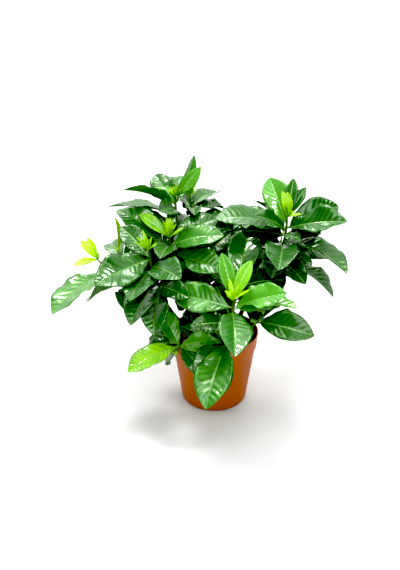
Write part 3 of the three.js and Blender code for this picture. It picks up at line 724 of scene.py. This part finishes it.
def leaf_tree():
    """Leaf blades on points: a thin box of share and across is bent into each point's leaf."""
    g = GeometryGraph("Leaf Blades", {
        "Stations": "Int", "Columns": "Int", "Vein Pairs": "Float", "Quilting": "Float", "Thickness": "Float",
        "Material": "Material"})
    given = g.given
    blank = g.node("GeometryNodeMeshCube", inputs={
        "Size": (1.0, 2.0, 2.0), "Vertices X": given.out("Stations"), "Vertices Y": given.out("Columns"),
        "Vertices Z": 2})
    x, y, z = g.parts(g.node("GeometryNodeInputPosition"))
    box = g.keep(blank, "share", x + 0.5)
    box = g.keep(box, "across", y * (abs(y) ** 0.25))  # closer columns by the midrib
    box = g.keep(box, "face", z)
    placed = g.node("GeometryNodeInstanceOnPoints", inputs={"Points": given.out("Geometry"), "Instance": box})
    real = g.node("GeometryNodeRealizeInstances", inputs={0: placed})

    share, across, face = g.read("share"), g.read("across"), g.read("face")
    span, breadth, arch = g.read("span"), g.read("breadth"), g.read("arch")
    along, left, up = (g.read(label, "FLOAT_VECTOR") for label in ("along", "left", "up"))
    side = abs(across)

    # The midrib is an arc of the leaf's arch, on its chord.
    radius = span / (g.sin(arch * 0.5) * 2.0)
    lean = arch * (0.5 - share)
    chordwise = radius * (g.sin(arch * 0.5) - g.sin(lean))
    lift = radius * (g.cos(lean) - g.cos(arch * 0.5))
    normal = up * g.cos(lean) - along * g.sin(lean)

    # The outline: a petiole, then a pointed ellipse.
    s = g.floor_at((share - PETIOLE) / (1 - PETIOLE), 0.0)
    blade = g.floor_at(g.sin((s ** SHOULDER) * math.pi), 0.0) ** (BLUNTNESS + TAPER * s)
    half = g.maths("MAXIMUM", g.read("stalk") * (1.0 - share), breadth * 0.5 * blade)
    rib_gap = side * half

    # The fold along the midrib, rounded in its crease, and the wave of the margin.
    crease = ((across * across + CREASE) ** 0.5 - CREASE ** 0.5) / ((1 + CREASE) ** 0.5 - CREASE ** 0.5)
    wave, waves, phase = g.read("wave"), g.read("waves"), g.read("phase")
    ripple = g.sin(waves * share * 2 * math.pi + phase + across * 1.3)
    rim_wave = across * across * wave * ripple * g.sin(share * math.pi)
    crimp = g.sin((waves * 2.0 + 1.7) * share * 2 * math.pi + phase * 2.3 + across)
    rim_wave = rim_wave + side ** 4.0 * wave * 0.3 * crimp * g.sin(share * math.pi)

    # Side veins leave the midrib forwards and bend up by the margin. The blade swells between them.
    which_half = g.maths("SIGN", across)
    vein = (share - VEIN_LEAN * rib_gap / span - VEIN_BEND * across * across) * given.out("Vein Pairs")
    sway = g.sin(share * 11.0 + phase * 3.0 + which_half * 1.7)
    vein = vein + which_half * 0.22 + sway * 0.25
    swell = abs(g.sin(vein * math.pi)) ** 0.8 - 0.55
    reach = g.smooth(side, 0.04, 0.3) * g.smooth(side, 0.8, 1.0, 1.0, 0.25)
    reach = reach * g.smooth(share, 0.08, 0.24) * g.smooth(share, 0.84, 1.0, 1.0, 0.0)
    quilt = swell * reach * g.read("quilt") * given.out("Quilting") * (span / (MIDDLING_LEAF * MM))

    # Both faces meet at the margin. The midrib stands out below.
    rim = 1.0 - side ** 6.0
    below = g.smooth(face, -0.5, 0.5, 1.0, 0.0)
    body = face * 0.5 * given.out("Thickness") * rim
    ridge = below * g.read("rib") * (1.0 - share) * g.smooth(rib_gap, 0.0, RIDGE_REACH * MM, 1.0, 0.0) * rim
    groove = g.smooth(rib_gap, 0.0, GROOVE_REACH * MM, 1.0, 0.0)
    dent = (1.0 - below) * groove * GROOVE_DEPTH * MM * g.smooth(share, PETIOLE, 0.2)
    fold = g.read("fold")
    height = crease * half * g.sin(fold) + rim_wave + quilt + body - ridge - dent

    place = g.read("foot", "FLOAT_VECTOR") + along * chordwise + up * lift
    place = place + left * (across * half * g.cos(fold)) + normal * height
    bent = g.node("GeometryNodeSetPosition", inputs={"Geometry": real, "Position": place})
    bent = g.keep(bent, "rib_gap", rib_gap)
    bent = g.keep(bent, "vein", vein)
    closed = g.node("GeometryNodeMergeByDistance", inputs={"Geometry": bent, "Distance": 0.02 * MM})
    return g.finish(closed, given.out("Material"))


def leaf_material(name="gardenia_leaf", gloss=1.0):
    """Leaf skin: its green follows its tone, which is partly its age and partly painted light and shade, with
    a pale midrib, faint side veins and a matte underside.
    """
    s = bpy.context.scene.gardenia_leaves
    g = MaterialGraph(name, Coat_Roughness=0.09, IOR=1 + 0.58 * gloss, Specular_Tint=(0.65, 1, 0.48, 1),
                      Coat_Tint=(0.9, 1, 0.85, 1))
    above = g.smooth(g.read("face"), -0.2, 0.2)
    vein = abs(g.sin(g.read("vein") * math.pi))
    side = abs(g.read("across"))
    grain = g.noise(900.0, 4.0)
    mottle = g.noise(60.0, 3.0)
    # The tone is lowered along the sunken side veins and raised on the swells between them: painted shade in
    # the grooves and painted light on the swells.
    tone = g.read("tone") + (mottle - 0.5) * 0.22 + (vein - 0.6) * 0.05
    skin = g.ramp(tone, [(0.0, s.darkest), (0.45, s.middle), (0.7, s.fresh), (0.92, s.brightest)])
    side_vein = g.smooth(vein, 0.04, 0.30, 1.0, 0.0) * g.smooth(side, 0.9, 1.0, 1.0, 0.0) * 0.16
    skin = g.mix(side_vein, skin, s.vein)
    midrib = g.smooth(g.read("rib_gap"), 0.3 * MM, 0.95 * MM, 1.0, 0.0)
    midrib = midrib * g.smooth(g.read("share"), 0.5, 1.0, 0.5, 0.2)
    margin = g.smooth(side, 0.95, 0.99, 0.0, 0.2)
    skin = g.mix(g.maths("MAXIMUM", midrib, margin), skin, s.vein)
    below = g.ramp(tone, [(0.3, s.underside), (0.7, s.fresh), (0.95, s.brightest)])
    below = g.mix(midrib * 0.7, below, s.vein)
    g.set(
        Base_Color=g.mix(above, below, skin),
        Roughness=g.smooth(above, 0.0, 1.0, 0.55, 0.31) + (grain - 0.5) * 0.12,
        Coat_Weight=above * g.smooth(tone, 0.05, 0.3, 0.1, 0.7) * gloss,
        Normal=g.bump(grain * 0.25 + vein, 0.35 * MM, 0.6),
    )
    return g.material


def leaf_cloud(name, rows):
    """Points that carry a leaf each."""
    frames = [leaf_frame(row) for row in rows]
    floats = {label: [row[label] * (MM if label in LEAF_LENGTHS else 1) for row in rows]
              for label in LEAF_FLOATS}
    vectors = {label: [frame[i] for frame in frames] for i, label in enumerate(("along", "left", "up"))}
    vectors["foot"] = [row["foot"] * MM for row in rows]
    return points_object(name, [row["foot"] * MM for row in rows], floats=floats, vectors=vectors)


# ---------------------------------------------------------------- stems


def stem_tree():
    """Tubes round lines, each as thick as its points say, fused where they fork, with bark relief."""
    g = GeometryGraph("Stem Tubes", {"Sides": "Int", "Relief": "Float", "Material": "Material"})
    given = g.given
    lines = g.node("GeometryNodeMeshToCurve", inputs={"Mesh": given.out("Geometry")})
    ring = g.node("GeometryNodeCurvePrimitiveCircle", inputs={
        "Resolution": given.out("Sides"), "Radius": 1.0})
    tubes = g.node("GeometryNodeCurveToMesh", inputs={
        "Curve": lines, "Profile Curve": ring, "Scale": g.read("girth"), "Fill Caps": True})
    whole = g.node("GeometryNodeMeshBoolean", {"operation": "UNION", "solver": "EXACT"},
                   {"Mesh 2": tubes, "Self Intersection": True})
    here = g.node("GeometryNodeInputPosition") * (700.0, 700.0, 130.0)
    cracks = g.node("ShaderNodeTexNoise", inputs={"Vector": here, "Scale": 1.0, "Detail": 2.0})
    return g.finish(g.roughened(whole, (cracks - 0.5) * given.out("Relief")), given.out("Material"))


def stem_lines(name, runs):
    """Lines for the stem tree: runs of (curve, from, to, first radius, last radius, knuckle shares)."""
    places, edges, girths = [], [], []
    for curve, start, end, first, last, knuckles in runs:
        steps = max(8, int(np.linalg.norm(curve.at(end) - curve.at(start)) / 3))
        for i in range(steps + 1):
            t = start + (end - start) * i / steps
            swell = sum(math.exp(-((t - k) / 0.022) ** 2) for k in knuckles)
            if i:
                edges.append((len(places) - 1, len(places)))
            places.append(curve.at(t) * MM)
            girths.append((first + (last - first) * i / steps) * (1 + 0.16 * min(swell, 1)) * MM)
    return points_object(name, places, edges, floats={"girth": girths})


def bark_material():
    s = bpy.context.scene.gardenia_stems
    g = MaterialGraph("gardenia_bark", IOR=1.45)
    place = g.node("ShaderNodeMapping", inputs={"Vector": g.here(), "Scale": (520.0, 520.0, 90.0)})
    cracks = g.noise(1.0, 4.0, 0.65, place)
    flecks = g.smooth(g.noise(260.0, 2.0), 0.62, 0.72)
    skin = g.mix(g.smooth(cracks, 0.35, 0.62), s.cracks, s.bark)
    g.set(
        Base_Color=g.mix(flecks * 0.5, skin, s.flecks),
        Roughness=g.smooth(cracks, 0.2, 0.8, 0.92, 0.7),
        Normal=g.bump(cracks, 0.5 * MM, 0.8),
    )
    return g.material


def stem_material():
    s = bpy.context.scene.gardenia_stems
    g = MaterialGraph("gardenia_green_stem", IOR=1.45)
    place = g.node("ShaderNodeMapping", inputs={"Vector": g.here(), "Scale": (700.0, 700.0, 120.0)})
    streaks = g.noise(1.0, 3.0, 0.6, place)
    g.set(
        Base_Color=g.mix(g.smooth(streaks, 0.45, 0.75), s.green, s.bark),
        Roughness=g.smooth(streaks, 0.2, 0.8, 0.38, 0.6),
        Normal=g.bump(streaks, 0.3 * MM, 0.6),
    )
    return g.material


# ---------------------------------------------------------------- pot and soil

# Half of the pot's section, from its underside up, over the rim and back in: (radius, height, corner radius).
POT_OUTLINE = [
    (0, 0, 0), (BASE_RADIUS - 2, 0, 2), (BASE_RADIUS, 2.5, 2), (NECK_RADIUS, NECK, 1.2),
    (NECK_RADIUS + COLLAR_STEP, NECK + 2, 1.2), (RIM_RADIUS - 0.4, POT_HEIGHT - 3, 1),
    (RIM_RADIUS, POT_HEIGHT, 0.7), (RIM_RADIUS - WALL, POT_HEIGHT, 0.7),
    (NECK_RADIUS + COLLAR_STEP - WALL, NECK + 1, 1.2), (NECK_RADIUS - WALL, NECK - 1, 1.2),
    (BASE_RADIUS - WALL, 3.5, 1.5), (BASE_RADIUS - WALL - 1.5, POT_FLOOR, 1), (0, POT_FLOOR, 0),
]
SOIL_RADIUS, SOIL_RINGS, SOIL_SEGMENTS = 60.4, 24, 72
SOIL_UNDER = [(57.5, SOIL_LEVEL - 9), (45.0, 4.0), (0, SOIL_FOOT)]  # its side and foot: (radius, height)


def rounded(outline, steps=4):
    """An outline of (radius, height, corner radius) with its corners rounded."""
    points = []
    for i, (r, z, corner) in enumerate(outline):
        here = np.array((r, z), float)
        if not corner or i in (0, len(outline) - 1):
            points.append(here)
            continue
        before, after = (np.array(outline[j][:2], float) for j in (i - 1, i + 1))
        a = here + unit(before - here) * min(corner, np.linalg.norm(before - here) * 0.45)
        b = here + unit(after - here) * min(corner, np.linalg.norm(after - here) * 0.45)
        for k in range(steps + 1):
            t = k / steps
            points.append((1 - t) ** 2 * a + 2 * t * (1 - t) * here + t * t * b)
    return points


def turned(name, outline, segments, dip=None):
    """A closed solid of revolution from (radius, height) points in millimetres, both ends on the axis."""
    mesh = bmesh.new()
    rings = []
    for r, z in outline:
        if r < 1e-6:
            rings.append([mesh.verts.new((0, 0, (z + (dip(0, 0) if dip else 0)) * MM))])
            continue
        ring = []
        for j in range(segments):
            angle = 2 * math.pi * j / segments
            x, y = r * math.cos(angle), r * math.sin(angle)
            ring.append(mesh.verts.new((x * MM, y * MM, (z + (dip(x, y) if dip else 0)) * MM)))
        rings.append(ring)
    for low, high in zip(rings, rings[1:]):
        for j in range(segments):
            k = (j + 1) % segments
            corners = [low[j % len(low)], low[k % len(low)], high[k % len(high)], high[j % len(high)]]
            mesh.faces.new(list(dict.fromkeys(corners)))
    bmesh.ops.recalc_face_normals(mesh, faces=mesh.faces)
    data = bpy.data.meshes.new(name)
    mesh.to_mesh(data)
    mesh.free()
    data.shade_smooth()
    made = bpy.data.objects.new(name, data)
    bpy.context.scene.collection.objects.link(made)
    return made


def drained(pot, radius):
    """The pot with its ring of drain holes cut through the floor."""
    holes = bmesh.new()
    for i in range(DRAIN_HOLES):
        angle = 2 * math.pi * i / DRAIN_HOLES
        made = bmesh.ops.create_cone(
            holes, cap_ends=True, segments=32, radius1=radius, radius2=radius, depth=0.02)
        place = Vector((math.cos(angle), math.sin(angle), 0)) * (DRAIN_CIRCLE * MM)
        bmesh.ops.translate(holes, verts=made["verts"], vec=place)
    data = bpy.data.meshes.new("drain_holes")
    holes.to_mesh(data)
    holes.free()
    cutter = bpy.data.objects.new("drain_holes", data)
    bpy.context.scene.collection.objects.link(cutter)
    cut = pot.modifiers.new("Drain", "BOOLEAN")
    cut.operation, cut.solver, cut.object = "DIFFERENCE", "EXACT", cutter
    bpy.context.view_layer.update()
    pot.data = bpy.data.meshes.new_from_object(pot.evaluated_get(bpy.context.evaluated_depsgraph_get()))
    pot.modifiers.remove(cut)
    bpy.data.objects.remove(cutter)
    return pot


def plastic_material():
    s = bpy.context.scene.gardenia_pot
    g = MaterialGraph("gardenia_pot_plastic", IOR=1.34)
    _, _, z = g.parts(g.here())
    cloud = g.noise(16.0, 3.0)
    pebble = g.noise(1500.0, 2.0)
    place = g.node("ShaderNodeMapping", inputs={"Vector": g.here(), "Scale": (60.0, 60.0, 900.0)})
    scuffs = g.smooth(g.noise(1.0, 4.0, 0.6, place), 0.60, 0.74)
    edge = g.smooth(z, (POT_HEIGHT - 2.5) * MM, POT_HEIGHT * MM) + g.smooth(z, 3 * MM, 0.0)
    dust = g.smooth(z, 0.0, 14 * MM, 0.35, 0.0) * g.smooth(cloud, 0.4, 0.65)
    skin = g.mix(g.smooth(cloud, 0.3, 0.7) * 0.25 + scuffs * 0.3 + edge * 0.3, s.plastic, s.worn)
    g.set(
        Base_Color=g.mix(dust, skin, s.dust),
        Roughness=g.smooth(cloud, 0.3, 0.7, 0.42, 0.52) + scuffs * 0.15 + dust * 0.4,
        Normal=g.bump(pebble * 0.3 + cloud, 0.25 * MM, 0.25),
    )
    return g.material


def soil_material():
    s = bpy.context.scene.gardenia_soil
    g = MaterialGraph("gardenia_soil", IOR=1.4)
    coarse, fine = g.noise(190.0, 5.0, 0.65), g.noise(1100.0, 3.0)
    chips = g.smooth(g.noise(420.0, 1.0), 0.68, 0.74)
    skin = g.mix(g.smooth(coarse, 0.35, 0.68), s.dark, s.light)
    g.set(
        Base_Color=g.mix(chips * 0.55, skin, s.chips),
        Roughness=g.smooth(fine, 0.2, 0.8, 0.72, 0.98),
        Normal=g.bump(coarse + fine * 0.4, 0.8 * MM, 0.9),
    )
    return g.material


def lumps(x, y):
    """How far the soil's top stands above or below its level there."""
    coarse = math.sin(x * 0.13 + 0.7) * math.cos(y * 0.11 - 0.4)
    fine = math.sin(x * 0.31 + y * 0.23) * 0.5
    small = math.sin(x * 0.9 + 1.3 * math.sin(y * 0.5)) * math.sin(y * 0.8 - 0.6) * 0.22
    return SOIL_LUMP * (coarse + fine + small)


def crumb_tree():
    """Crumbs scattered on the top of a lump of soil, and kept with it."""
    g = GeometryGraph("Soil Crumbs", {
        "Crumb": "Float", "Density": "Float", "Lowest": "Float", "Seed": "Int", "Material": "Material"})
    given = g.given
    here = g.node("GeometryNodeInputPosition")
    _, _, height = g.parts(here)
    _, _, up = g.parts(g.node("GeometryNodeInputNormal"))
    level = g.node("FunctionNodeCompare", {"operation": "GREATER_THAN"}, {0: up, 1: 0.5})
    high = g.node("FunctionNodeCompare", {"operation": "GREATER_THAN"}, {0: height, 1: given.out("Lowest")})
    top = g.node("FunctionNodeBooleanMath", {"operation": "AND"}, {0: level, 1: high})
    spots = g.node("GeometryNodeDistributePointsOnFaces", inputs={
        "Mesh": given.out("Geometry"), "Selection": top, "Density": given.out("Density"),
        "Seed": given.out("Seed")})
    ball = g.node("GeometryNodeMeshIcoSphere", inputs={"Radius": given.out("Crumb"), "Subdivisions": 2})
    turn = g.node("FunctionNodeRandomValue", {"data_type": "FLOAT_VECTOR"},
                  {0: (0.0, 0.0, 0.0), 1: (6.283, 6.283, 6.283), "Seed": 3})
    stretch = g.node("FunctionNodeRandomValue", {"data_type": "FLOAT_VECTOR"},
                     {0: (0.35, 0.35, 0.3), 1: (1.6, 1.25, 1.0), "Seed": 4})
    placed = g.node("GeometryNodeInstanceOnPoints", inputs={
        "Points": spots, "Instance": ball, "Scale": stretch,
        "Rotation": g.node("FunctionNodeEulerToRotation", inputs={0: turn})})
    real = g.node("GeometryNodeRealizeInstances", inputs={0: placed})
    lump = g.node("ShaderNodeTexNoise", inputs={"Vector": here, "Scale": 900.0, "Detail": 1.0})
    whole = g.node("GeometryNodeJoinGeometry", inputs={0: g.roughened(real, (lump - 0.5) * 0.0012)})
    g.tree.links.new(given.out("Geometry").socket, whole.socket.node.inputs[0])
    return g.finish(whole, given.out("Material"))


# ---------------------------------------------------------------- operators


class GARDENIA_OT_pot(bpy.types.Operator):
    """Turns the nursery pot with its collar and drain holes"""

    bl_idname = "gardenia.pot"
    bl_label = "Pot"

    def execute(self, context):
        s = context.scene.gardenia_pot
        pot = drained(turned("nursery_pot", rounded(POT_OUTLINE), s.segments), s.drain_radius)
        pot.data.materials.clear()
        pot.data.materials.append(plastic_material())
        pot.data.set_sharp_from_angle(angle=math.radians(35))
        deliver(pot, "pot")
        return {"FINISHED"}


class GARDENIA_OT_soil(bpy.types.Operator):
    """Fills the pot with lumpy soil and scatters crumbs on it"""

    bl_idname = "gardenia.soil"
    bl_label = "Soil"

    def execute(self, context):
        s = context.scene.gardenia_soil
        top = [(SOIL_RADIUS * k / SOIL_RINGS, SOIL_LEVEL) for k in range(SOIL_RINGS + 1)]
        lump = turned("potting_soil", top + SOIL_UNDER, SOIL_SEGMENTS, lumps)
        for vertex in lump.data.vertices:  # only the top is lumpy
            if vertex.co.z < (SOIL_LEVEL - 5) * MM:
                raised = lumps(vertex.co.x / MM, vertex.co.y / MM) * MM
                vertex.co.z = max(vertex.co.z - raised, SOIL_FOOT * MM)
        soil = grow(lump, crumb_tree(), {
            "Crumb": s.crumb, "Density": s.density, "Lowest": (SOIL_LEVEL - 6) * MM, "Seed": s.seed,
            "Material": soil_material()})
        deliver(soil, "soil")
        return {"FINISHED"}


class GARDENIA_OT_wood(bpy.types.Operator):
    """Builds the six woody cuttings with their forks"""

    bl_idname = "gardenia.wood"
    bl_label = "Woody Stems"

    def execute(self, context):
        s = context.scene.gardenia_stems
        tree, bark = stem_tree(), bark_material()
        for name in CUTTINGS:
            runs = [(trunk_curve(name), 0.0, 1.0, TRUNK_RADIUS, FORK_RADIUS, (0.3, 0.55, 0.8))]
            for _, cutting, elbow, tip, *_rest in SHOOTS:
                if cutting == name:
                    runs.append((shoot_curve(cutting, elbow, tip), 0.0, GREEN_FROM, FORK_RADIUS, FOOT_RADIUS,
                                 (0.2, 0.4)))
            piece = grow(stem_lines(f"cutting_{name}", runs), tree,
                         {"Sides": s.sides, "Relief": s.relief, "Material": bark})
            deliver(piece, f"wood_{name}")
        return {"FINISHED"}


class GARDENIA_OT_shoots(bpy.types.Operator):
    """Grows the green stems and the grown leaves of every shoot"""

    bl_idname = "gardenia.shoots"
    bl_label = "Shoots and Leaves"

    def execute(self, context):
        s, stems = context.scene.gardenia_leaves, context.scene.gardenia_stems
        blades, tubes, skin, green = leaf_tree(), stem_tree(), leaf_material(), stem_material()
        # The dark leaves inside the foliage get a dull skin. Their dark tones are painted shade.
        dull = leaf_material("gardenia_shaded_leaf", 0.05)
        sizes = {"Stations": s.stations, "Columns": s.columns, "Vein Pairs": s.vein_pairs,
                 "Quilting": s.quilting, "Thickness": s.thickness, "Material": skin}
        coarse = dict(sizes, Stations=SHADED_STATIONS, Columns=SHADED_COLUMNS, Material=dull)
        crowd = Crowd()
        for i, (name, cutting, elbow, tip, _, leaves, _, whorls) in enumerate(SHOOTS):
            rows, _ = grown(i)
            pieces = [grow(leaf_cloud(f"leafy_shoot_{name}", rows), blades, sizes, LEAF_KEPT)]
            inside = shaded(i, crowd, s.shaded)
            if inside:
                pieces.append(grow(leaf_cloud(f"painted_shade_leaves_{name}", inside), blades, coarse, LEAF_KEPT))
            knuckles = sorted({row[0] for row in (*leaves, *whorls)})
            run = (shoot_curve(cutting, elbow, tip), GREEN_FROM, 1.0, *GREEN_RADII, knuckles)
            pieces.append(grow(stem_lines(f"green_stem_{name}", [run]), tubes, {
                "Sides": 12, "Relief": stems.relief * 0.4, "Material": green}))
            deliver(joined(pieces), f"shoot_{name}")
        return {"FINISHED"}


class GARDENIA_OT_young(bpy.types.Operator):
    """Grows the young leaves and spikes on every bud"""

    bl_idname = "gardenia.young"
    bl_label = "Young Leaves"

    def execute(self, context):
        s, leaves = context.scene.gardenia_young, context.scene.gardenia_leaves
        blades, tubes, skin, green = leaf_tree(), stem_tree(), leaf_material(), stem_material()
        sizes = {"Stations": s.stations, "Columns": s.columns, "Vein Pairs": 9.0,
                 "Quilting": leaves.quilting, "Thickness": leaves.thickness, "Material": skin}
        for i, (name, cutting, elbow, tip, (_, longest), *_rest) in enumerate(SHOOTS):
            _, rows = grown(i)
            curve, draw = shoot_curve(cutting, elbow, tip), drawer(104729 * (i + 1))
            for j in range(s.spikes):
                span = min(longest, 16) * (0.5 + 0.4 * draw())
                turn = 70 + j * 97 + 30 * draw()
                rise = 50 + 32 * draw()
                rows.append(dict(young_row(curve, draw, turn, rise, span, 0, 0.9), breadth=2.2))
            for turn, rise, span, breadth, tone in TUFTS.get(name, ()):
                rows.append(dict(young_row(curve, draw, turn, rise, span, 0, tone), breadth=breadth))
            piece = grow(leaf_cloud(f"young_leaves_{name}", rows), blades, sizes, LEAF_KEPT)
            up = curve.tangent(1)
            foot = curve.at(1) + up * GAP
            core = Curve(foot, foot + up * BUD_HEIGHT / 2, foot + up * BUD_HEIGHT)
            bud = grow(stem_lines(f"bud_core_{name}", [(core, 0.0, 1.0, 1.4, 0.9, ())]), tubes, {
                "Sides": 10, "Relief": 0.0, "Material": green})
            deliver(joined([piece, bud]), f"bud_{name}")
        return {"FINISHED"}


# Lamps: (name, turn, rise, width as an angle, strength).
LAMPS = [
    ("overhead", 270, 78, 24, 1.0), ("behind", 90, 55, 20, 0.9), ("behind_left", 150, 60, 10, 1.0),
    ("front_right", 330, 55, 10, 0.9), ("front", 265, 38, 45, 1.3),
]

# The camera, in metres, in degrees down and to the left, and in millimetres of its lens and its sensor.
EYE_PLACE = (0, -0.880, 0.590)
LOOKS_DOWN, LOOKS_LEFT = 24.72, 1.40
LENS, SENSOR_WIDTH = 42.44, 36


class GARDENIA_OT_stage(bpy.types.Operator):
    """Sets the pale floor, the soft lights and the camera"""

    bl_idname = "gardenia.stage"
    bl_label = "Stage"

    def execute(self, context):
        s = context.scene.gardenia_stage
        scene = context.scene
        view = scene.view_settings
        view.view_transform = "Standard"
        view.use_curve_mapping = True
        view.curve_mapping.black_level = (s.black, s.black, s.black)
        view.curve_mapping.white_level = (s.white, s.white, s.white)
        view.curve_mapping.update()
        bpy.ops.mesh.primitive_plane_add(size=90, location=(0, 0, -0.0005))
        floor = context.object
        floor.name = "floor"
        g = MaterialGraph("stage_floor", Roughness=0.9, Emission_Strength=1.0)
        x, y, _ = g.parts(g.here())
        far = g.smooth((x * x + y * y) ** 0.5, 0.15, 1.3, 0.0, 0.8)
        g.set(Base_Color=g.mix(far, s.floor, s.distance), Emission_Color=g.mix(far, BLACK, WHITE))
        floor.data.materials.append(g.material)
        world = bpy.data.worlds.new("stage_sky")
        world.use_nodes = True
        sky = Graph(world.node_tree)
        _, y, z = sky.parts(sky.node("ShaderNodeTexCoord"))
        light = sky.smooth(z * 0.75 + y * 0.8, 0.2, 0.75, s.shade, s.sky)
        seen = sky.node("ShaderNodeLightPath")
        light = light * (1.0 - seen) + seen
        sky.node("ShaderNodeOutputWorld", inputs={0: sky.node("ShaderNodeBackground", inputs={
            "Color": WHITE, "Strength": light})})
        scene.world = world
        for label, turn, rise, width, energy in LAMPS:
            data = bpy.data.lights.new(label, "SUN")
            data.energy, data.angle = s.lamps * energy, math.radians(width)
            lamp = bpy.data.objects.new(label, data)
            lamp.rotation_euler = Vector(-heading(turn, rise)).to_track_quat("-Z", "Y").to_euler()
            scene.collection.objects.link(lamp)
        camera = bpy.data.cameras.new("camera")
        camera.lens, camera.sensor_width = LENS, SENSOR_WIDTH
        eye = bpy.data.objects.new("camera", camera)
        eye.location = EYE_PLACE
        eye.rotation_euler = (math.radians(90 - LOOKS_DOWN), 0, math.radians(LOOKS_LEFT))
        scene.collection.objects.link(eye)
        scene.camera = eye
        return {"FINISHED"}


class GARDENIA_PT_panel(bpy.types.Panel):
    """Lists the gardenia's builders"""

    bl_label = "Potted Gardenia"
    bl_idname = "GARDENIA_PT_panel"
    bl_space_type = "VIEW_3D"
    bl_region_type = "UI"
    bl_category = "Gardenia"

    def draw(self, context):
        for group in SETTINGS:
            settings = getattr(context.scene, group)
            box = self.layout.box()
            for name in settings.bl_rna.properties.keys():
                if name not in ("rna_type", "name"):
                    box.prop(settings, name)
        for operator in OPERATORS:
            self.layout.operator(operator.bl_idname)


OPERATORS = [GARDENIA_OT_stage, GARDENIA_OT_pot, GARDENIA_OT_soil, GARDENIA_OT_wood, GARDENIA_OT_shoots,
             GARDENIA_OT_young]
CLASSES = [*SETTINGS.values(), *OPERATORS, GARDENIA_PT_panel]


def register():
    for made in CLASSES:
        bpy.utils.register_class(made)
    for name, group in SETTINGS.items():
        setattr(bpy.types.Scene, name, PointerProperty(type=group))


def unregister():
    for name in SETTINGS:
        delattr(bpy.types.Scene, name)
    for made in reversed(CLASSES):
        bpy.utils.unregister_class(made)


def main():
    register()
    bpy.ops.gardenia.stage()
    bpy.ops.gardenia.pot()
    bpy.ops.gardenia.soil()
    bpy.ops.gardenia.wood()
    bpy.ops.gardenia.shoots()
    bpy.ops.gardenia.young()
    bpy.context.view_layer.update()


if __name__ == "__main__":
    main()
